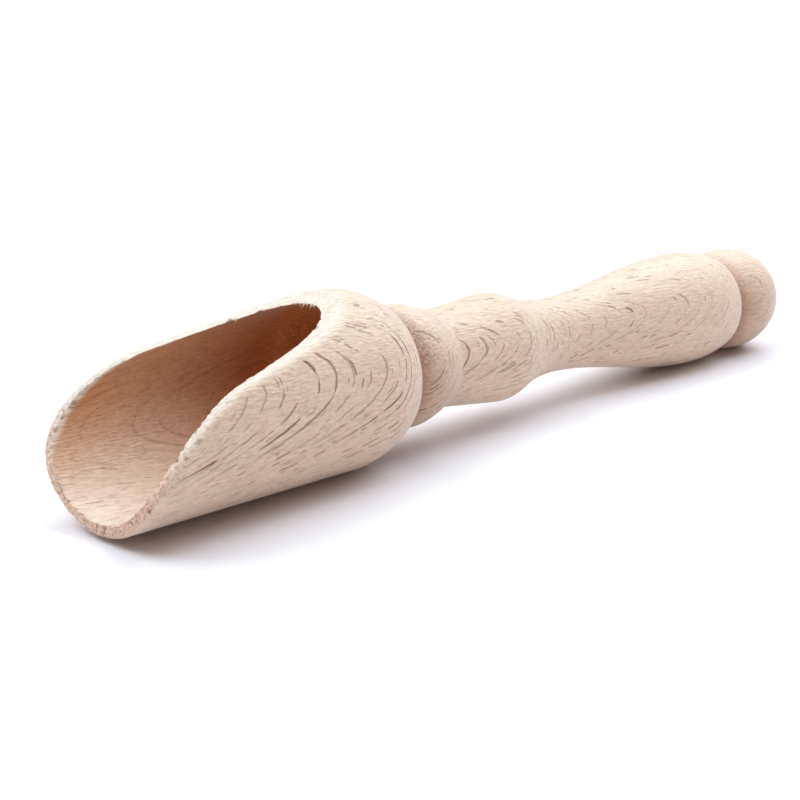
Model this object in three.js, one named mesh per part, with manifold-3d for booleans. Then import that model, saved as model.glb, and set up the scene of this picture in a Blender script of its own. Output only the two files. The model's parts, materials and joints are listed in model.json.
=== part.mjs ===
// A small salt scoop turned in beech: a hollow bowl with a long slanted mouth, glued on the tenon
// of a shaped handle with a collar, a slim neck, a swelling grip and a round knob. It lies as it
// does on a table, mouth up, resting on the back of the bowl and on the belly of the grip.
// Millimetres, +Z up, +X from the bowl towards the knob.
import * as THREE from 'three';
import { mergeVertices } from 'three/addons/utils/BufferGeometryUtils.js';
import Module from 'manifold-3d';

// Bowl: a slightly flared cup, bored from the front. The turning axis is X and x = 0 is the flat
// back face of the bowl.
const bowlLength = 57.5;
const bowlFrontRadius = 16.8;
const bowlBackRadius = 15.7;
const backRounding = 10.4;
const backFaceRadius = 12.6;
const bowlWall = 2.2;
const boreFloor = 10;
const boreCorner = 4.5;

// Mouth: a cut seen from the side as one line, square across the bowl. It leaves the front lip
// below the axis, bends over a knee and runs out through the top of the bowl near its back.
const lipDrop = 12;
const lipRise = 8;
const kneeFromFront = 19.1;
const kneeHeight = 7;
const kneeSlope = 0.24;
const kneeLead = 11.3;
const kneeTrail = 10;
const apexFromBack = 9;
const apexSlope = 0.45;
const apexLead = 10;

// Joint: the handle's round tenon stands glued in a blind socket in the back of the bowl.
const jointClearance = 0.3;
const tenonRadius = 5;
const tenonLength = 6.5;

// Handle: lengths follow each other along the axis from the back face of the bowl.
const collarRise = 6;
const collarFall = 8;
const collarFrontRadius = 9.5;
const collarRadius = 11.05;
const creaseRadius = 8.75;
const neckLength = 15.6;
const neckEndRadius = 10.25;
const shoulderLength = 6;
const shoulderEndRadius = 8.95;
const shoulderSlope = -0.33;
const coveLength = 11.5;
const waistRadius = 7.2;
const gripSwell = 43;
const gripRadius = 11.7;
const gripFall = 9.5;
const gripEndRadius = 10.5;
const grooveWidth = 1.6;
const grooveRadius = 8.6;
const knobRise = 7.7;
const knobRadius = 10.9;
const knobDome = 12.1;

// Fineness of the faceted surfaces. The half step puts a flat facet, not an edge, underneath.
const roundSides = 40;
const curveSteps = 6;
const halfStep = Math.PI / roundSides;

const beech = new THREE.MeshStandardMaterial({ color: 0xd8c0a8, roughness: 0.7, metalness: 0 });
const bowlBeech = beech.clone();
const handleBeech = beech.clone();

// Merges the shared vertices of a closed surface and drops the flat triangles at its poles.
function weld(geometry) {
  geometry.deleteAttribute('normal');
  geometry.deleteAttribute('uv');
  const merged = mergeVertices(geometry);
  const index = merged.getIndex().array;
  const kept = [];
  for (let i = 0; i < index.length; i += 3) {
    const [a, b, c] = [index[i], index[i + 1], index[i + 2]];
    if (a !== b && b !== c && c !== a) {
      kept.push(a, b, c);
    }
  }
  merged.setIndex(kept);
  return merged;
}

// Turns an outline of (x, radius) points about the X axis.
function turned(outline) {
  const profile = outline.getPoints(curveSteps).map((point) => new THREE.Vector2(point.y, point.x));
  const geometry = new THREE.LatheGeometry(profile, roundSides, halfStep);
  geometry.rotateZ(-Math.PI / 2);
  return weld(geometry);
}

function toSolid(wasm, geometry) {
  return new wasm.Manifold(new wasm.Mesh({
    numProp: 3,
    vertProperties: new Float32Array(geometry.getAttribute('position').array),
    triVerts: new Uint32Array(geometry.getIndex().array),
  }));
}

function toGeometry(solid) {
  const mesh = solid.getMesh();
  const geometry = new THREE.BufferGeometry();
  geometry.setAttribute('position', new THREE.BufferAttribute(mesh.vertProperties, mesh.numProp));
  geometry.setIndex(new THREE.BufferAttribute(mesh.triVerts, 1));
  return geometry;
}

// The outside of the bowl, from the front lip to where its back starts to round in.
function bowlRadiusAt(x) {
  const share = (x + bowlLength) / (bowlLength - backRounding);
  return THREE.MathUtils.lerp(bowlFrontRadius, bowlBackRadius, share);
}

// The bowl before its mouth is cut: the bore, the lip, the outside, the rounded back, the flat
// back face and the socket.
function boredCup() {
  const front = -bowlLength;
  const floor = -boreFloor;
  const boreBackRadius = bowlRadiusAt(floor - boreCorner) - bowlWall;
  const socketRadius = tenonRadius + jointClearance;
  const socketFloor = -(tenonLength + jointClearance);
  const outline = new THREE.Path();
  outline.moveTo(floor, 0);
  outline.lineTo(floor, boreBackRadius - boreCorner);
  outline.absarc(floor - boreCorner, boreBackRadius - boreCorner, boreCorner, 0, Math.PI / 2, false);
  outline.lineTo(front, bowlFrontRadius - bowlWall);
  outline.lineTo(front, bowlFrontRadius);
  outline.lineTo(-backRounding, bowlBackRadius);
  outline.quadraticCurveTo(-backRounding / 2, bowlBackRadius, 0, backFaceRadius);
  outline.lineTo(0, socketRadius);
  outline.lineTo(socketFloor, socketRadius);
  outline.lineTo(socketFloor, 0);
  return turned(outline);
}

// Everything above the line of the mouth, wider than the bowl, as one block.
function mouthBlock() {
  const beyond = bowlFrontRadius;
  const front = -bowlLength;
  const kneeX = front + kneeFromFront;
  const apexX = -apexFromBack;
  const line = new THREE.Shape();
  line.moveTo(front - beyond, -lipDrop);
  line.lineTo(front, -lipDrop);
  line.bezierCurveTo(
    front, -lipDrop + lipRise,
    kneeX - kneeLead, kneeHeight - kneeLead * kneeSlope,
    kneeX, kneeHeight,
  );
  line.bezierCurveTo(
    kneeX + kneeTrail, kneeHeight + kneeTrail * kneeSlope,
    apexX - apexLead, bowlBackRadius - apexLead * apexSlope,
    apexX, bowlBackRadius,
  );
  line.lineTo(apexX + beyond, bowlBackRadius + beyond * apexSlope);
  line.lineTo(apexX + beyond, bowlBackRadius + beyond);
  line.lineTo(front - beyond, bowlBackRadius + beyond);
  const width = 2 * (bowlFrontRadius + beyond);
  const block = new THREE.ExtrudeGeometry(line, {
    depth: width,
    bevelEnabled: false,
    curveSegments: 2 * curveSteps,
  });
  block.translate(0, 0, -width / 2);
  block.rotateX(Math.PI / 2);
  return weld(block);
}

// The handle in one turning, from the end of its tenon to the tip of the knob.
function handleTurning() {
  const collarFront = jointClearance;
  const collarCrest = collarFront + collarRise;
  const crease = collarCrest + collarFall;
  const neckEnd = crease + neckLength;
  const shoulderEnd = neckEnd + shoulderLength;
  const waist = shoulderEnd + coveLength;
  const belly = waist + gripSwell;
  const gripEnd = belly + gripFall;
  const groove = gripEnd + grooveWidth;
  const knobCrest = groove + knobRise;
  const neckSlope = (neckEndRadius - creaseRadius) / neckLength;
  const third = 1 / 3;
  const outline = new THREE.Path();
  outline.moveTo(-tenonLength, 0);
  outline.lineTo(-tenonLength, tenonRadius);
  outline.lineTo(collarFront, tenonRadius);
  outline.lineTo(collarFront, collarFrontRadius);
  outline.quadraticCurveTo(collarFront + collarRise * third, collarRadius, collarCrest, collarRadius);
  outline.quadraticCurveTo(collarCrest + collarFall * third, collarRadius, crease, creaseRadius);
  outline.lineTo(neckEnd, neckEndRadius);
  outline.bezierCurveTo(
    neckEnd + shoulderLength * third, neckEndRadius + shoulderLength * third * neckSlope,
    shoulderEnd - shoulderLength * third, shoulderEndRadius - shoulderLength * third * shoulderSlope,
    shoulderEnd, shoulderEndRadius,
  );
  outline.bezierCurveTo(
    shoulderEnd + coveLength * third, shoulderEndRadius + coveLength * third * shoulderSlope,
    waist - coveLength * third, waistRadius,
    waist, waistRadius,
  );
  outline.bezierCurveTo(
    waist + gripSwell * third, waistRadius,
    belly - gripSwell * third, gripRadius,
    belly, gripRadius,
  );
  outline.quadraticCurveTo(belly + gripFall / 2, gripRadius, gripEnd, gripEndRadius);
  outline.lineTo(groove, grooveRadius);
  outline.quadraticCurveTo(groove + knobRise * third, knobRadius, knobCrest, knobRadius);
  outline.absellipse(knobCrest, 0, knobDome, knobRadius, Math.PI / 2, 0, true);
  return { geometry: turned(outline), belly };
}

const wasm = await Module();
wasm.setup();

const cup = toSolid(wasm, boredCup()).subtract(toSolid(wasm, mouthBlock()));
const bowl = new THREE.Mesh(toGeometry(cup), bowlBeech);
bowl.name = 'bowl';

const turning = handleTurning();
const handle = new THREE.Mesh(turning.geometry, handleBeech);
handle.name = 'handle';

// On the table the axis sinks towards the grip, so that bowl and grip touch it together, and the
// origin is under the middle of the scoop.
const axisTilt = Math.atan2(bowlBackRadius - gripRadius, turning.belly + backRounding);
const scoop = new THREE.Group();
scoop.add(bowl, handle);
scoop.rotation.y = axisTilt;
scoop.updateMatrixWorld(true);
const extent = new THREE.Box3().setFromObject(scoop, true);
const middle = extent.getCenter(new THREE.Vector3());
scoop.position.set(-middle.x, -middle.y, -extent.min.z);

export default scoop;
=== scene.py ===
import json
from functools import lru_cache
from math import acos, atan2, ceil, cos, exp, hypot, pi, radians, sin, sqrt

import bmesh
import bpy
from mathutils import Matrix, Vector, noise
from numpy import interp


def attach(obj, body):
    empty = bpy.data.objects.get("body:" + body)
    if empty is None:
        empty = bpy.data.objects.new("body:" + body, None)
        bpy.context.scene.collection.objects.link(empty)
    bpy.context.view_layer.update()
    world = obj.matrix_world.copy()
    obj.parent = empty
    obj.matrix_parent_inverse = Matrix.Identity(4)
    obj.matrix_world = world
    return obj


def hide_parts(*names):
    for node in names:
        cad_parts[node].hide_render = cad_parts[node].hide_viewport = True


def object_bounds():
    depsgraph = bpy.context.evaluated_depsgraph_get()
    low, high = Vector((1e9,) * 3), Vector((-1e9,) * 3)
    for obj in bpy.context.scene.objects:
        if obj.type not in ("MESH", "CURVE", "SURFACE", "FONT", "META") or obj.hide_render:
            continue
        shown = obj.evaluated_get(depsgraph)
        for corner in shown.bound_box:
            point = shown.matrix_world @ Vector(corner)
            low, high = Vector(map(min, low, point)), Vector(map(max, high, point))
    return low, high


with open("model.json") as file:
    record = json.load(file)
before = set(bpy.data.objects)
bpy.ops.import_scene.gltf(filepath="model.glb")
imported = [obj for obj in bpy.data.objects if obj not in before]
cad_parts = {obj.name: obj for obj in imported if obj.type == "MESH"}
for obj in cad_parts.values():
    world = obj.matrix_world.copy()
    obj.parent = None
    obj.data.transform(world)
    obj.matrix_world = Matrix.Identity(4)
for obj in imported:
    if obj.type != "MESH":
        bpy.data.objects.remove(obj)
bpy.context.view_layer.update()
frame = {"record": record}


# Bowl
# A slightly flared cup of beech, turned outside and bored from the front on the lathe, with its
# mouth then cut on the bandsaw and sanded. The handle's tenon is glued in a socket in its back.
# Sizes are millimetres along and across the turning axis, where 0 is the flat back of the bowl.
bowl_length = 57.5
lip_radius = 16.8
bowl_back_radius = 15.7
back_rounding = 10.4
back_face_radius = 12.6
bowl_wall = 2.2
bore_floor = 10
bore_corner = 4.5
tenon_radius = 5
tenon_length = 6.5
glue_gap = 0.3

# The frame's front lip is the middle of the wall on the solid, whose round has that many sides.
solid_sides = 40
lip_mount = next(m for m in frame["record"]["mounts"] if m["name"] == "front_lip")
towards_knob = -Vector(lip_mount["axis"]).normalized()
across = Vector((0, 1, 0))
upright = towards_knob.cross(across)
millimetre = 0.001
lip_height = -(lip_radius - bowl_wall / 2) * cos(pi / solid_sides)
axis_start = Vector(lip_mount["pos_m"])
axis_start += (bowl_length * towards_knob - lip_height * upright) * millimetre
turning_axis = Matrix.Translation(axis_start)
turning_axis @= Matrix((towards_knob, across, upright)).transposed().to_4x4()
turning_axis @= Matrix.Scale(millimetre, 4)

# Mouth: seen from the side it rises steeply from the lip, bends over a knee and runs out through
# the top near the back.
lip_cut_height = -12
lip_cut_lead = 8
knee = Vector((-38.4, 7))
knee_slope = Vector((1, 0.24))
knee_lead = 11.3
knee_trail = 10
apex = Vector((-9, bowl_back_radius))
apex_slope = Vector((1, 0.45))
apex_lead = 10
lip_foot = Vector((-bowl_length, lip_cut_height))
mouth_line = [
    [lip_foot, lip_foot + Vector((0, lip_cut_lead)), knee - knee_lead * knee_slope, knee],
    [knee, knee + knee_trail * knee_slope, apex - apex_lead * apex_slope, apex],
    [apex, apex + apex_lead * apex_slope],
]
cut_halvings = 40


def curve_point(controls, share):
    """The point at that share of a Bezier curve with any number of control points."""
    points = list(controls)
    while len(points) > 1:
        points = [a.lerp(b, share) for a, b in zip(points, points[1:])]
    return points[0]


def outside_radius(station):
    """The bowl's outer radius: a slight cone that rounds in over its back."""
    if station < -back_rounding:
        share = (station + bowl_length) / (bowl_length - back_rounding)
        return lip_radius + (bowl_back_radius - lip_radius) * share
    rounding = 1 + station / back_rounding
    return bowl_back_radius - (bowl_back_radius - back_face_radius) * rounding ** 2


corner_station = -bore_floor - bore_corner
corner_start = outside_radius(corner_station) - bowl_wall - bore_corner
corner_travel = bore_corner * pi / 2


def bore_radius(station):
    """The bore's radius: an even wall, then the round corner of its floor."""
    if station < corner_station:
        return outside_radius(station) - bowl_wall
    return corner_start + sqrt(max(0, bore_corner ** 2 - (station - corner_station) ** 2))


def bore_point(travel):
    """The point of the bore that far along it from the middle of its floor."""
    if travel < corner_start:
        return Vector((-bore_floor, travel))
    turn = (travel - corner_start) / bore_corner
    if turn < pi / 2:
        return Vector((corner_station + bore_corner * cos(turn), corner_start + bore_corner * sin(turn)))
    station = corner_station + corner_start + corner_travel - travel
    return Vector((station, bore_radius(station)))


def bore_travel(station):
    """How far along the bore, from the middle of its floor, that station lies."""
    if station < corner_station:
        return corner_start + corner_travel + corner_station - station
    return corner_start + bore_corner * acos((station - corner_station) / bore_corner)


def mouth_cut(angle, share):
    """Where the mouth cuts the wall, at an angle from the top, with share 0 inside and 1 outside."""
    low, high = 0, len(mouth_line)
    for _ in range(cut_halvings):
        middle = (low + high) / 2
        piece = min(int(middle), len(mouth_line) - 1)
        cut = curve_point(mouth_line[piece], middle - piece)
        radius = bore_radius(cut.x) + share * (outside_radius(cut.x) - bore_radius(cut.x))
        low, high = (low, middle) if cut.y > radius * cos(angle) else (middle, high)
    return Vector((cut.x, radius))


def bent(start, corner, end, steps):
    """Points of an outline that bends once, towards a corner, without the first one."""
    return [curve_point([start, corner, end], step / steps) for step in range(1, steps + 1)]


# Edges: sanding rounded the mouth's outer edge and the rim of the back. The inner edge is sharper,
# but eased into the bore at the sides, by angle from the top.
outer_rounding = 1.2
inner_rounding = 0.25
eased_angles = (radians(45), radians(80), radians(105), radians(125))
eased_lengths = (0, 1.8, 1.8, 0)
rim_rounding = 0.2
bore_rows = 60
inner_rows = 3
lip_rows = 6
outer_rows = 6
outside_rows = 48
rim_rows = 3
back_rows = 5
lip_start_row = bore_rows
lip_end_row = lip_start_row + inner_rows + lip_rows + outer_rows
edge_probe = radians(1)
most_spread = 4
weld_distance = 0.0005


@lru_cache(None)
def bowl_section(angle):
    """The bowl's outline at one angle: from the bore's floor round the lip and back to the socket."""
    inner, outer = mouth_cut(angle, 0), mouth_cut(angle, 1)
    lip_width = (outer - inner).length
    # Where the edge runs along the axis, its rounding takes a longer stretch of the outline.
    slip = mouth_cut(angle + edge_probe, 1).x - mouth_cut(angle - edge_probe, 1).x
    arc = 2 * edge_probe * outer.y
    spread = min(most_spread, hypot(arc, slip) / arc)
    eased = interp(angle, eased_angles, eased_lengths)
    travel = bore_travel(inner.x) - max(eased, inner_rounding * spread)
    outline = [bore_point(travel * row / bore_rows) for row in range(bore_rows + 1)]
    lip_from = inner_rounding / lip_width
    lip_to = 1 - outer_rounding / lip_width
    outline += bent(outline[-1], inner, mouth_cut(angle, lip_from), inner_rows)
    for row in range(1, lip_rows + 1):
        outline.append(mouth_cut(angle, lip_from + (lip_to - lip_from) * row / lip_rows))
    side = outer.x + outer_rounding * spread
    outline += bent(outline[-1], outer, Vector((side, outside_radius(side))), outer_rows)
    for row in range(1, outside_rows + 1):
        station = side + (-rim_rounding - side) * row / outside_rows
        outline.append(Vector((station, outside_radius(station))))
    rim = Vector((0, back_face_radius))
    outline += bent(outline[-1], rim, rim - Vector((0, rim_rounding)), rim_rows)
    socket_edge = Vector((0, tenon_radius + glue_gap))
    outline += [outline[-1].lerp(socket_edge, row / back_rows) for row in range(1, back_rows + 1)]
    socket_floor = -tenon_length - glue_gap
    outline.append(Vector((socket_floor, socket_edge.y)))
    outline.append(Vector((socket_floor, 0)))
    return outline


def turned(outline, steps):
    """A bmesh of an outline of stations and radii, hung under the turning axis and spun round it."""
    mesh = bmesh.new()
    row_layer = mesh.verts.layers.int.new("row")
    chain = [mesh.verts.new((point.x, 0, -point.y)) for point in outline]
    for row, vert in enumerate(chain):
        vert[row_layer] = row
    edges = [mesh.edges.new(pair) for pair in zip(chain, chain[1:])]
    bmesh.ops.spin(
        mesh, geom=chain + edges, cent=(0, 0, 0), axis=(1, 0, 0), dvec=(0, 0, 0),
        angle=2 * pi, steps=steps, use_merge=True,
    )
    bmesh.ops.remove_doubles(mesh, verts=mesh.verts, dist=weld_distance)
    bmesh.ops.recalc_face_normals(mesh, faces=mesh.faces)
    return mesh, row_layer


coarse_share = 0.7
fine_share = 0.3
times_finer = 2.3


def uneven(spot, size):
    """An uneven height at a spot, about -1 to 1, with lumps of that size and finer ones on them."""
    coarse, fine = noise.noise(spot / size), noise.noise(spot * times_finer / size)
    return coarse_share * coarse + fine_share * fine


def finished(mesh, name, material):
    """Lays a turned bmesh on its axis and makes it a piece of the scoop."""
    bmesh.ops.transform(mesh, matrix=turning_axis, verts=mesh.verts)
    bmesh.ops.recalc_face_normals(mesh, faces=mesh.faces)
    for face in mesh.faces:
        face.smooth = True
    data = bpy.data.meshes.new(name)
    mesh.to_mesh(data)
    mesh.free()
    data.materials.append(material)
    piece = bpy.data.objects.new(name, data)
    bpy.context.scene.collection.objects.link(piece)
    return piece


# Sanded beech, untreated
# Pale pinkish cream with thin broken brown lines of the yearly rings, which arch where the
# round surface runs along them, short dark ray flecks, and browner, speckled end grain.
def linear(hex_colour):
    """An sRGB hex colour as linear red, green, blue and alpha."""
    parts = [int(hex_colour[i:i + 2], 16) / 255 for i in (0, 2, 4)]
    return [p / 12.92 if p <= 0.04045 else ((p + 0.055) / 1.055) ** 2.4 for p in parts] + [1]


def add(tree, kind, links, **settings):
    """Adds a node to a tree with its settings, and with its inputs linked or set."""
    made = tree.nodes.new("ShaderNode" + kind)
    for setting, value in settings.items():
        setattr(made, setting, value)
    for socket, source in links.items():
        if isinstance(source, bpy.types.NodeSocket):
            tree.links.new(source, made.inputs[socket])
        else:
            made.inputs[socket].default_value = source
    return made.outputs


def per_mm(*sizes):
    """Texture scales along and across the grain for a pattern of those sizes in millimetres."""
    return [1 / size if size else 0 for size in sizes]


# The grain lies along the turning axis with a slight lean, and the bark was on the near side.
bark_height = radians(16)
bark_side = cos(bark_height) * -across + sin(bark_height) * upright
bowl_lean = 0.16
bowl_phase = 0.33
pith_distance = 150
ring_spacing = 0.69


def blank(lean):
    """Ways to the bark and along the grain of a blank whose grain leans, and the turn to them."""
    bark_way = (bark_side - lean * towards_knob).normalized()
    grain_way = (towards_knob + lean * bark_side).normalized()
    return bark_way, grain_way, Matrix((grain_way, bark_way.cross(grain_way), bark_way)).to_euler()


def first_year(phase):
    """The count of years at the axis, so that a ring lies that share of a year beside it."""
    return phase - (pith_distance + wander_depth / 2 + shake_depth / 2) / ring_spacing


bark_way, grain_way, blank_turn = blank(bowl_lean)

beech = bpy.data.materials.new("sanded_beech")
beech.use_nodes = True
tree = beech.node_tree
surface = tree.nodes["Principled BSDF"]
place = add(tree, "TexCoord", {})
billet = add(tree, "Mapping", {
    "Vector": place["Object"], "Rotation": blank_turn, "Scale": [1 / millimetre] * 3,
}, name="blank")["Vector"]


def grain_noise(detail, *sizes):
    """Cloudy noise from 0 to 1 with clouds of those sizes along and across the grain."""
    stretched = add(tree, "VectorMath", {0: billet, 1: per_mm(*sizes)}, operation="MULTIPLY")[0]
    return add(tree, "TexNoise", {"Vector": stretched, "Scale": 1, "Detail": detail})["Fac"]


# Rings: distance from the pith, with a slow wander and a fine shake, counted in years.
wander_depth = 0.5
shake_depth = 0.12
from_pith = add(tree, "VectorMath", {
    0: billet, 1: (0, 1, 1), 2: (0, 0, pith_distance),
}, operation="MULTIPLY_ADD")[0]
ring_radius = add(tree, "VectorMath", {0: from_pith}, operation="LENGTH")["Value"]
wandered = add(tree, "Math", {
    0: grain_noise(3, 30, 9, 9), 1: wander_depth, 2: ring_radius,
}, operation="MULTIPLY_ADD")[0]
shaken = add(tree, "Math", {
    0: grain_noise(2, 1.8, 1.1, 1.1), 1: shake_depth, 2: wandered,
}, operation="MULTIPLY_ADD")[0]
years = add(tree, "Math", {
    0: shaken, 1: 1 / ring_spacing, 2: first_year(bowl_phase),
}, operation="MULTIPLY_ADD", name="years")[0]

# A ring's own thickness is constant, but on the surface it shows wider the flatter it is cut. The
# lines are drawn as wide as on the scoop, so the slant of the cut divides their distance.
facing = add(tree, "VectorMath", {
    0: place["Normal"], 1: bark_way,
}, operation="DOT_PRODUCT", name="facing")["Value"]
cut_angle = add(tree, "Math", {0: facing}, operation="ARCCOSINE")[0]
slant = add(tree, "Math", {0: cut_angle}, operation="SINE")[0]

# Each line takes its noise that far from the next line's, so that no two break alike. It is at its
# darkest over the core of its width.
noise_apart = 7.7
least_width = 0.0001
line_core = 0.3


def broken_lines(attribute, per_year, line_width, dash_sizes, least, most, faintest):
    """Strength of thin lines along the rings, broken into dashes that thin out at their ends."""
    count = add(tree, "Math", {0: years, 1: per_year}, operation="MULTIPLY")[0]
    near = add(tree, "Math", {0: count, 1: 0.5}, operation="PINGPONG")[0]
    off_line = add(tree, "Math", {0: near, 1: slant}, operation="DIVIDE")[0]
    number = add(tree, "Math", {0: count}, operation="ROUND")[0]
    stretched = add(tree, "VectorMath", {0: billet, 1: per_mm(*dash_sizes)}, operation="MULTIPLY")[0]
    apart = add(tree, "Math", {0: number, 1: noise_apart}, operation="MULTIPLY")[0]
    broken = add(tree, "TexNoise", {
        "Vector": stretched, "W": apart, "Scale": 1, "Detail": 2,
    }, noise_dimensions="4D")["Fac"]
    dash = add(tree, "MapRange", {
        "Value": broken, "From Min": least, "From Max": most,
    }, interpolation_type="SMOOTHSTEP")["Result"]
    width = add(tree, "Math", {
        0: dash, 1: line_width * per_year / ring_spacing, 2: least_width,
    }, operation="MULTIPLY_ADD")[0]
    widths_off = add(tree, "Math", {0: off_line, 1: width}, operation="DIVIDE")[0]
    line = add(tree, "MapRange", {
        "Value": widths_off, "From Min": 1, "From Max": line_core,
    }, interpolation_type="SMOOTHSTEP")["Result"]
    chance = add(tree, "TexWhiteNoise", {"W": number}, noise_dimensions="1D")["Value"]
    strength = add(tree, "MapRange", {"Value": chance, "To Min": faintest})["Result"]
    visible = add(tree, "Attribute", {}, attribute_name=attribute)["Fac"]
    shown = add(tree, "Math", {0: strength, 1: visible}, operation="MULTIPLY")[0]
    return add(tree, "Math", {0: line, 1: shown}, operation="MULTIPLY")[0]


ring_dashes = broken_lines(
    "rings", per_year=1, line_width=0.35, dash_sizes=(6, 3.2, 0), least=0.43, most=0.56, faintest=0.4,
)
ray_flecks = broken_lines(
    "flecks", per_year=2.3, line_width=0.26, dash_sizes=(4, 4, 0), least=0.58, most=0.66, faintest=0.4,
)
flat_cut = add(tree, "MapRange", {
    "Value": slant, "From Min": 0.4, "From Max": 0.68, "To Min": 1, "To Max": 0.12,
})["Result"]
ring_lines = add(tree, "Math", {0: ring_dashes, 1: flat_cut}, operation="MULTIPLY")[0]

# Colour: slow patches and tints, and fine fibre streaks.
fresh = add(tree, "MixRGB", {
    "Fac": grain_noise(2, 35, 6, 4), "Color1": linear("EED2B8"), "Color2": linear("E4C4AA"),
})["Color"]
tint_share = add(tree, "MapRange", {
    "Value": grain_noise(2, 4, 1.8, 1.8), "From Min": 0.4, "From Max": 0.65, "To Max": 0.35,
})["Result"]
tinted = add(tree, "MixRGB", {"Fac": tint_share, "Color1": fresh, "Color2": linear("DCCBB0")})["Color"]
# The sawn cut face is paler cream, partly its own sanded wood and partly a painted highlight; in the
# bore the same mask paints light on the floor by the lip.
sawn_and_lit = add(tree, "Attribute", {}, attribute_name="sawn_and_lit")["Fac"]
pale = add(tree, "MixRGB", {"Fac": sawn_and_lit, "Color1": tinted, "Color2": linear("EBDCCB")})["Color"]
fibres = grain_noise(2, 6, 0.35, 0.35)
fibre_share = add(tree, "MapRange", {
    "Value": fibres, "From Min": 0.4, "From Max": 0.7, "To Max": 0.5,
})["Result"]
streaked = add(tree, "MixRGB", {
    "Fac": fibre_share, "Color1": pale, "Color2": linear("C4A088"),
})["Color"]

# End grain and torn grain: darker, speckled with pores, which are drawn coarser than real ones.
along = add(tree, "VectorMath", {
    0: place["Normal"], 1: grain_way,
}, operation="DOT_PRODUCT", name="along")["Value"]
endwise = add(tree, "Math", {0: along}, operation="ABSOLUTE")[0]
end_grain = add(tree, "MapRange", {
    "Value": endwise, "From Min": 0.55, "From Max": 0.95,
}, interpolation_type="SMOOTHSTEP")["Result"]
pores = grain_noise(3, 0.5, 0.45, 0.45)
speckle = add(tree, "MapRange", {"Value": pores, "From Min": 0.35, "From Max": 0.65})["Result"]
end_colour = add(tree, "MixRGB", {
    "Fac": speckle, "Color1": linear("C28C70"), "Color2": linear("F0CEB2"),
})["Color"]
ended = add(tree, "MixRGB", {"Fac": end_grain, "Color1": streaked, "Color2": end_colour})["Color"]
torn = add(tree, "Attribute", {}, attribute_name="torn")["Fac"]
tufts = grain_noise(3, 1, 0.5, 0.5)
torn_patches = add(tree, "Math", {0: tufts, 1: torn}, operation="ADD")[0]
torn_share = add(tree, "MapRange", {
    "Value": torn_patches, "From Min": 0.7, "From Max": 1.3, "To Max": 0.65,
})["Result"]
torn_colour = add(tree, "MixRGB", {
    "Fac": speckle, "Color1": linear("764A30"), "Color2": linear("DCBCA0"),
})["Color"]
roughened = add(tree, "MixRGB", {"Fac": torn_share, "Color1": ended, "Color2": torn_colour})["Color"]

# Lines over it all: rings, ray flecks and the split that the mesh marks, and painted shade in the
# lip's hollows and chips, which the mesh marks too.
line_colour = linear("7C421C")
ring_darkness = 0.92
fleck_darkness = 0.85
split_widest = 0.36
ring_share = add(tree, "Math", {0: ring_lines, 1: ring_darkness}, operation="MULTIPLY")[0]
ringed = add(tree, "MixRGB", {"Fac": ring_share, "Color1": roughened, "Color2": line_colour})["Color"]
fleck_share = add(tree, "Math", {0: ray_flecks, 1: fleck_darkness}, operation="MULTIPLY")[0]
flecked = add(tree, "MixRGB", {"Fac": fleck_share, "Color1": ringed, "Color2": line_colour})["Color"]
split_zone = add(tree, "Attribute", {}, attribute_name="split_zone")["Fac"]
beside = add(tree, "Attribute", {}, attribute_name="beside_split")["Fac"]
off_split = add(tree, "Math", {0: beside}, operation="ABSOLUTE")[0]
split_width = add(tree, "Math", {
    0: split_zone, 1: split_widest, 2: least_width,
}, operation="MULTIPLY_ADD")[0]
widths_off = add(tree, "Math", {0: off_split, 1: split_width}, operation="DIVIDE")[0]
gap = add(tree, "MapRange", {
    "Value": widths_off, "From Min": 1, "From Max": line_core,
}, interpolation_type="SMOOTHSTEP")["Result"]
split = add(tree, "Math", {0: gap, 1: split_zone}, operation="MULTIPLY")[0]
pit_shade = add(tree, "Attribute", {}, attribute_name="pit_shade")["Fac"]
dark = add(tree, "Math", {0: split, 1: pit_shade}, operation="MAXIMUM")[0]
opened = add(tree, "MixRGB", {"Fac": dark, "Color1": flecked, "Color2": linear("6A4028")})["Color"]

# Painted shade: darker and more orange deeper in the bore and on its walls, and darker on the collar
# and the knob where the bowl and the grip shade them. Mottled all over.
mottle_depth = 0.5
fuzz_height = 0.15
depth = add(tree, "Attribute", {}, attribute_name="bore_shade")["Fac"]
# Painted shade: the bore darkens and turns orange with depth and on its walls.
bore_shaded = add(tree, "MixRGB", {
    "Fac": depth, "Color1": opened, "Color2": linear("D4944C"),
}, blend_type="MULTIPLY")["Color"]
# Painted shade on the collar and the knob beside the bowl and the grip, and in the gaps.
lee_shade = add(tree, "Attribute", {}, attribute_name="lee_shade")["Fac"]
shade_darkened = add(tree, "MixRGB", {
    "Fac": lee_shade, "Color1": bore_shaded, "Color2": linear("B89078"),
}, blend_type="MULTIPLY")["Color"]
mottle = grain_noise(2, 1.2, 0.4, 0.4)
mottled = add(tree, "Math", {
    0: mottle, 1: mottle_depth, 2: 1 - mottle_depth / 2,
}, operation="MULTIPLY_ADD")[0]
shaded = add(tree, "MixRGB", {
    "Fac": 1, "Color1": shade_darkened, "Color2": mottled,
}, blend_type="MULTIPLY")["Color"]
tree.links.new(shaded, surface.inputs["Base Color"])
surface.inputs["Roughness"].default_value = 0.5
surface.inputs["Sheen Weight"].default_value = 0.5
surface.inputs["Sheen Roughness"].default_value = 0.4
fuzz = add(tree, "Math", {0: fibres, 1: mottle}, operation="ADD")[0]
tufted = add(tree, "Math", {0: tufts, 1: torn, 2: fuzz}, operation="MULTIPLY_ADD")[0]
cut_fuzz = add(tree, "Math", {0: tufted, 1: ring_lines}, operation="SUBTRACT")[0]
raised = add(tree, "Bump", {
    "Height": cut_fuzz, "Distance": fuzz_height * millimetre, "Strength": 1,
})["Normal"]
tree.links.new(raised, surface.inputs["Normal"])

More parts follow.
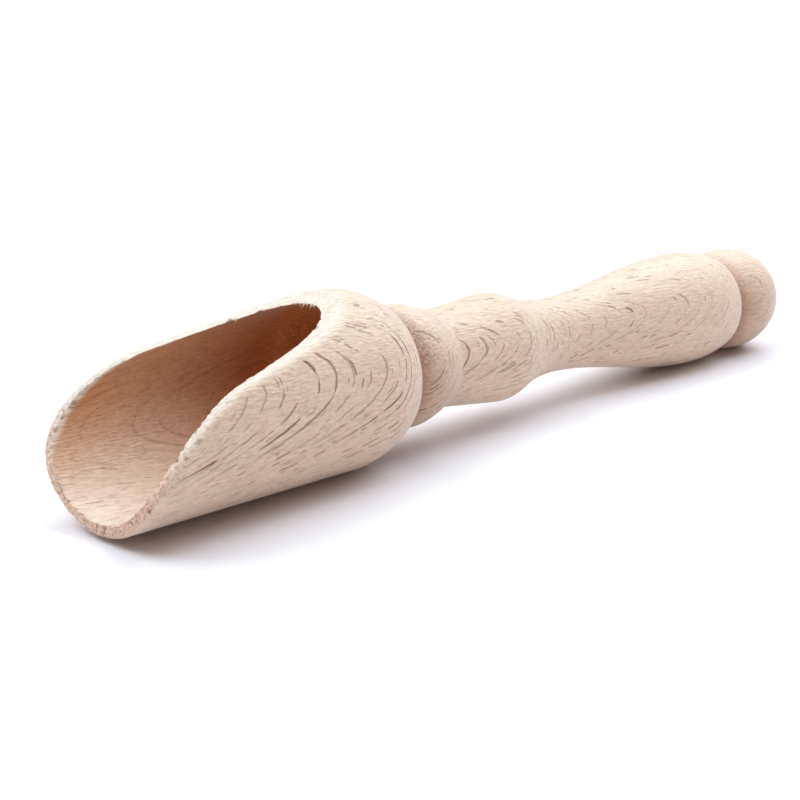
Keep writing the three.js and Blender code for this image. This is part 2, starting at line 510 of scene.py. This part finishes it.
# A split runs back along the near side from the mouth's edge and widens. Angles are from the top.
split_start = -55.4
split_end = -47.4
split_angle = radians(-109.2)
split_turn = radians(1.03)
split_reach = 1.5
split_taper = 0.6

# Painted shade in the bore: darker and more orange the deeper it goes, and on its walls more than its
# floor, where painted light makes it paler at the lip. The lines of the wood are fainter towards the lip
# and in the bore.
bore_shade_growth = 1.8
wall_shade = 1.05
floor_front_light = 0.4
bore_figure = 0.3
floor_flecks = 0.5
figure_stations = (-bowl_length, -42, -32)
figure_strengths = (0.6, 0.75, 1)
bowl_steps = 400
angle_digits = 6
bowl_mesh, bowl_row = turned(bowl_section(pi), bowl_steps)
bore_shade, rings, flecks, sawn_and_lit, pit_shade, beside_split, split_zone = [
    bowl_mesh.verts.layers.float.new(name)
    for name in ("bore_shade", "rings", "flecks", "sawn_and_lit", "pit_shade", "beside_split", "split_zone")
]
for vert in bowl_mesh.verts:
    angle = atan2(vert.co.y, vert.co.z)
    row = vert[bowl_row]
    station, radius = bowl_section(round(abs(angle), angle_digits))[row]
    vert[rings] = vert[flecks] = interp(station, figure_stations, figure_strengths)
    if row <= lip_start_row:
        share = min(1, max(0, (station + bowl_length) / (bowl_length - bore_floor)))
        wall = 1 + min(0, cos(angle))
        floor_front = (1 - wall) * (1 - share)
        # Painted shade: darker and more orange deeper in the bore and on its walls.
        vert[bore_shade] = share ** bore_shade_growth + wall_shade * wall * (1 - share) ** 2
        # Painted light: the bore's floor is paler by the lip.
        vert[sawn_and_lit] = floor_front_light * floor_front
        vert[rings] = bore_figure
        vert[flecks] = bore_figure + floor_flecks * floor_front
    elif row >= lip_end_row:
        beside = (angle - split_angle - split_turn * (station - split_start)) * radius
        vert[beside_split] = beside
        if split_start < station < split_end and abs(beside) < split_reach:
            vert[split_zone] = 1 - split_taper * (split_end - station) / (split_end - split_start)
    vert.co = (station, radius * sin(angle), radius * cos(angle))

# Lip: the saw left it rough, most where it cuts square across the grain, with painted shade in its
# hollows, and with chips given as angle in degrees, share of the wall, width and depth, painted shaded
# too.
chips = [
    (40, 0, 0.5, 0.7), (31.5, 0.1, 0.35, 0.5), (30, 0.05, 0.3, 0.4), (-98.5, 0.2, 0.45, 0.35),
    (-171, 0.25, 0.3, 0.6), (-172, 0.55, 0.25, 0.5),
]
square_until = -52
rough_until = -34
lump_size = 0.7
slant_lumps = 0.06
square_lumps = 0.16
ragged_size = 0.6
ragged_depth = 0.9
sawn_figure = 0.25
pit_level = 0.2
pit_growth = 2.5
darkest_pit = 0.8
bowl_mesh.normal_update()
lip = [vert for vert in bowl_mesh.verts if lip_start_row < vert[bowl_row] < lip_end_row]
moves = {}
for vert in lip:
    square = min(1, max(0, (vert.co.x - square_until) / (-bowl_length - square_until)))
    rough = min(1, max(0, (vert.co.x - rough_until) / (square_until - rough_until)))
    lump = uneven(vert.co, lump_size)
    # The slanted cut face is painted paler: its own smoother sanded cream, partly a painted highlight.
    vert[sawn_and_lit] = (1 - square) * min(1, (lip_end_row - vert[bowl_row]) / outer_rows)
    vert[rings] = vert[flecks] = sawn_figure * (1 - square)
    # Painted shade in the hollows of the rough lip.
    vert[pit_shade] = rough * min(darkest_pit, max(0, -pit_level - lump) * pit_growth)
    moves[vert] = (slant_lumps + (square_lumps - slant_lumps) * rough) * lump
    inner = max(0, 1 - (vert[bowl_row] - lip_start_row) / (inner_rows + lip_rows))
    moves[vert] -= ragged_depth * inner * max(0, uneven(vert.co, ragged_size))
for chip_angle, share, width, chip_depth in chips:
    angle = radians(chip_angle)
    station, radius = mouth_cut(abs(angle), share)
    chip = Vector((station, radius * sin(angle), radius * cos(angle)))
    for vert in lip:
        near = exp(-((vert.co - chip).length / width) ** 2)
        moves[vert] -= chip_depth * near
        # Painted shade in the chips.
        vert[pit_shade] = max(vert[pit_shade], darkest_pit * near)
for vert, move in moves.items():
    vert.co += vert.normal * move

# Torn fibres hang from the thin edge over the bore: angle in degrees, lean forward and length.
fibre_radius = 0.26
fibre_tip_radius = fibre_radius / 5
fibre_sides = 6
for hang_angle, lean, length in [
    (9, 0.1, 0.6), (6, 0.8, 1), (3.5, 0.2, 0.7), (-1, 0.6, 1.1), (-4, 0.3, 0.6), (38.5, 0.4, 0.9),
]:
    angle = radians(hang_angle)
    station, radius = mouth_cut(abs(angle), 0)
    way = Vector((-lean, 0, -1)).normalized()
    root = Vector((station, radius * sin(angle), radius * cos(angle)))
    hang = Matrix.Translation(root + way * length / 3) @ way.to_track_quat("Z", "Y").to_matrix().to_4x4()
    bmesh.ops.create_cone(
        bowl_mesh, cap_ends=True, segments=fibre_sides, radius1=fibre_radius,
        radius2=fibre_tip_radius, depth=length, matrix=hang,
    )
bowl = finished(bowl_mesh, "scoop_bowl", beech)
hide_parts("bowl")
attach(bowl, "root")


# Handle
# One turning of beech: tenon, collar, neck, shoulder, waist, swelling grip, groove and knob. It is
# glued in the bowl and sanded with it. Its blank is another one, whose grain leans more.
handle_lean = 0.27
handle_phase = 0.2
handle_beech = beech.copy()
handle_beech.name = "sanded_beech_handle"
handle_nodes = handle_beech.node_tree.nodes
bark_way, grain_way, blank_turn = blank(handle_lean)
handle_nodes["blank"].inputs["Rotation"].default_value = blank_turn
handle_nodes["facing"].inputs[1].default_value = bark_way
handle_nodes["along"].inputs[1].default_value = grain_way
handle_nodes["years"].inputs[2].default_value = first_year(handle_phase)
collar_front = Vector((glue_gap, 9.5))
collar_crest = Vector((6.3, 11.05))
crease = Vector((14.3, 8.75))
neck_end = Vector((29.9, 10.25))
shoulder_end = Vector((35.9, 8.95))
waist = Vector((47.4, 7.2))
belly = Vector((90.4, 11.7))
grip_end = Vector((99.9, 10.5))
groove = Vector((101.5, 8.6))
knob_crest = Vector((109.2, 10.9))
knob_dome = 12.1
shoulder_slope = -0.33
neck_slope = (neck_end.y - crease.y) / (neck_end.x - crease.x)
outline_step = 0.6


def drawn(start, start_slope, end, end_slope):
    """A stretch of the handle's outline that leaves and meets its ends at those slopes."""
    lead = (end.x - start.x) / 3
    controls = [
        start, start + lead * Vector((1, start_slope)), end - lead * Vector((1, end_slope)), end,
    ]
    steps = ceil((end.x - start.x) / outline_step)
    return [curve_point(controls, step / steps) for step in range(1, steps + 1)]


def rounded(start, bend, end):
    """A stretch of the handle's outline that bends once, towards a point."""
    return bent(start, bend, end, ceil((end - start).length / outline_step))


handle_outline = [
    Vector((-tenon_length, 0)), Vector((-tenon_length, tenon_radius)),
    Vector((glue_gap, tenon_radius)), collar_front,
]
collar_bend = Vector((collar_front.x + (collar_crest.x - collar_front.x) / 3, collar_crest.y))
handle_outline += rounded(collar_front, collar_bend, collar_crest)
collar_fall = Vector((collar_crest.x + (crease.x - collar_crest.x) / 3, collar_crest.y))
handle_outline += rounded(collar_crest, collar_fall, crease)
crease_row = len(handle_outline) - 1
handle_outline += drawn(crease, neck_slope, neck_end, neck_slope)
handle_outline += drawn(neck_end, neck_slope, shoulder_end, shoulder_slope)
handle_outline += drawn(shoulder_end, shoulder_slope, waist, 0)
handle_outline += drawn(waist, 0, belly, 0)
grip_bend = Vector(((belly.x + grip_end.x) / 2, belly.y))
handle_outline += rounded(belly, grip_bend, grip_end)
grip_end_row = len(handle_outline) - 1
handle_outline += rounded(grip_end, groove, groove)
knob_bend = Vector((groove.x + (knob_crest.x - groove.x) / 3, knob_crest.y))
handle_outline += rounded(groove, knob_bend, knob_crest)
dome_steps = ceil(knob_dome * pi / 2 / outline_step)
for step in range(1, dome_steps + 1):
    turn = pi / 2 * step / dome_steps
    handle_outline.append(Vector((knob_crest.x + knob_dome * sin(turn), knob_crest.y * cos(turn))))
handle_steps = 260
handle_mesh, handle_row = turned(handle_outline, handle_steps)
crease_softness = 0.5
grip_end_softness = 0.3
for soft_row, softness in ((crease_row, crease_softness), (grip_end_row, grip_end_softness)):
    soft_edges = [
        edge for edge in handle_mesh.edges
        if edge.verts[0][handle_row] == edge.verts[1][handle_row] == soft_row
    ]
    bmesh.ops.bevel(
        handle_mesh, geom=soft_edges, offset=softness, segments=3, profile=0.5, affect="EDGES",
        material=-1, clamp_overlap=True,
    )

# The grain is torn on the upper front of the collar, and the collar and the knob are painted darker as
# shade where the bowl and the grip shade them. The rings show on the straight parts, less on the grip.
tear_from = 3
tear_to = 7
tear_height = 0.55
tear_size = 0.7
tear_depth = 0.18
tear_strength = 1.6
lee_length = 16
lee_strength = 0.6
gap_shade_length = 4.5
gap_shade = 0.5
ring_stations = (0, 10, 15, 30, 36, 46, 60, 88, 96, 104, 110, 122)
ring_strengths = (0.9, 0.8, 0.9, 0.9, 0.3, 0.5, 0.35, 0.2, 0, 0, 0.8, 0.8)
knob_flecks = 0.3
lee_shade, rings, flecks, torn = [
    handle_mesh.verts.layers.float.new(name) for name in ("lee_shade", "rings", "flecks", "torn")
]
handle_mesh.normal_update()
for vert in handle_mesh.verts:
    station = vert.co.x
    vert[rings] = interp(station, ring_stations, ring_strengths)
    vert[flecks] = 1 if station < grip_end.x else knob_flecks
    off_tear = abs(vert.co.z / collar_crest.y - tear_height) / tear_height
    along_collar = (tear_to - station) / (tear_to - tear_from)
    vert[torn] = min(1, max(0, tear_strength * (1 - off_tear))) * min(1, max(0, along_collar))
    # Painted shade below the crest behind the bowl and the grip, and in the gaps beside them.
    below_crest = min(1, max(0, 1 - vert.co.z / collar_crest.y))
    past_edge = station - (grip_end.x if station > grip_end.x else collar_front.x)
    vert[lee_shade] = lee_strength * below_crest * max(0, 1 - past_edge / lee_length)
    vert[lee_shade] += gap_shade * max(0, 1 - past_edge / gap_shade_length)
    if station > collar_front.x:
        vert.co += vert.normal * tear_depth * vert[torn] * uneven(vert.co, tear_size)
handle = finished(handle_mesh, "scoop_handle", handle_beech)
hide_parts("handle")
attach(handle, "root")


# Floor
# White table paper that runs out of the picture on every side and keeps the scoop's soft shadow.
# Further out it is seen as plain white. Sizes are metres.
paper_reach = 4
glow_from = 0.2
glow_to = 0.7
floor_mesh = bmesh.new()
bmesh.ops.create_grid(floor_mesh, x_segments=1, y_segments=1, size=paper_reach)
floor_data = bpy.data.meshes.new("floor")
bmesh.ops.translate(floor_mesh, verts=floor_mesh.verts, vec=(0, 0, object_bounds()[0].z))
floor_mesh.to_mesh(floor_data)
floor_mesh.free()
paper = bpy.data.materials.new("white_paper")
paper.use_nodes = True
tree = paper.node_tree
surface = tree.nodes["Principled BSDF"]
surface.inputs["Base Color"].default_value = linear("F6F2F6")
surface.inputs["Roughness"].default_value = 1
surface.inputs["Specular IOR Level"].default_value = 0
rays = add(tree, "LightPath", {})
spot = add(tree, "TexCoord", {})["Object"]
off_middle = add(tree, "VectorMath", {0: spot}, operation="LENGTH")["Value"]
paper_glow = add(tree, "MapRange", {
    "Value": off_middle, "From Min": glow_from, "From Max": glow_to,
})["Result"]
tree.links.new(
    add(tree, "Math", {0: rays["Is Camera Ray"], 1: paper_glow}, operation="MULTIPLY")[0],
    surface.inputs["Emission Strength"],
)
surface.inputs["Emission Color"].default_value = linear("FFFFFF")
floor_data.materials.append(paper)
floor = bpy.data.objects.new("floor", floor_data)
bpy.context.scene.collection.objects.link(floor)


# Light
# Soft boxes on the left, on the right and overhead, and low cards behind and in front of the scoop.
# The one in front is warm, so that the shaded side of the wood doesn't turn grey.
box_distance = 0.8
daylight = "EEF8FF"
warm_card = "FFE4C8"


def soft_box(name, bearing, height, size, watts, colour):
    """A square soft box at arm's length, turned to the scoop."""
    lamp = bpy.data.lights.new(name, "AREA")
    lamp.color = linear(colour)[:3]
    lamp.shape = "SQUARE"
    lamp.size = size
    lamp.energy = watts
    box = bpy.data.objects.new(name, lamp)
    bearing, height = radians(bearing), radians(height)
    box.location = box_distance * Vector((
        cos(height) * cos(bearing), cos(height) * sin(bearing), sin(height),
    ))
    box.rotation_euler = (-box.location).to_track_quat("-Z", "Y").to_euler()
    bpy.context.scene.collection.objects.link(box)


soft_box("left_box", bearing=120, height=44, size=0.7, watts=4.8, colour=daylight)
soft_box("right_box", bearing=5, height=52, size=0.8, watts=7, colour=daylight)
soft_box("near_right_box", bearing=300, height=62, size=0.5, watts=1.25, colour=daylight)
soft_box("top_box", bearing=180, height=66, size=0.5, watts=2.2, colour=daylight)
soft_box("back_card", bearing=60, height=13, size=0.35, watts=0.5, colour=daylight)
soft_box("front_card", bearing=250, height=9, size=0.2, watts=0.46, colour=warm_card)
room = bpy.data.worlds.new("room")
room.use_nodes = True
bpy.context.scene.world = room
tree = room.node_tree
backdrop = add(tree, "Background", {"Color": linear("FFFFFF"), "Strength": 1})["Background"]
room_light = tree.nodes["Background"]
room_light.inputs["Color"].default_value = linear("FFF8F2")
room_light.inputs["Strength"].default_value = 0.06
rays = add(tree, "LightPath", {})
seen = add(tree, "Math", {
    0: rays["Is Camera Ray"], 1: rays["Is Glossy Ray"],
}, operation="MAXIMUM")[0]
tree.links.new(
    add(tree, "MixShader", {0: seen, 1: room_light.outputs["Background"], 2: backdrop})["Shader"],
    tree.nodes["World Output"].inputs["Surface"],
)
bpy.context.scene.view_settings.view_transform = "Standard"


# Camera
# Low on the mouth's side, turned 45 degrees to the scoop, with a slightly long lens.
looks_down = 16.26
looks_right = 45.34
lens = bpy.data.cameras.new("camera")
lens.lens = 72
lens.sensor_width = 36
camera = bpy.data.objects.new("camera", lens)
camera.location = (-0.21815, -0.19165, 0.08818)
camera.rotation_euler = (radians(90 - looks_down), 0, radians(-looks_right))
bpy.context.scene.collection.objects.link(camera)
bpy.context.scene.camera = camera
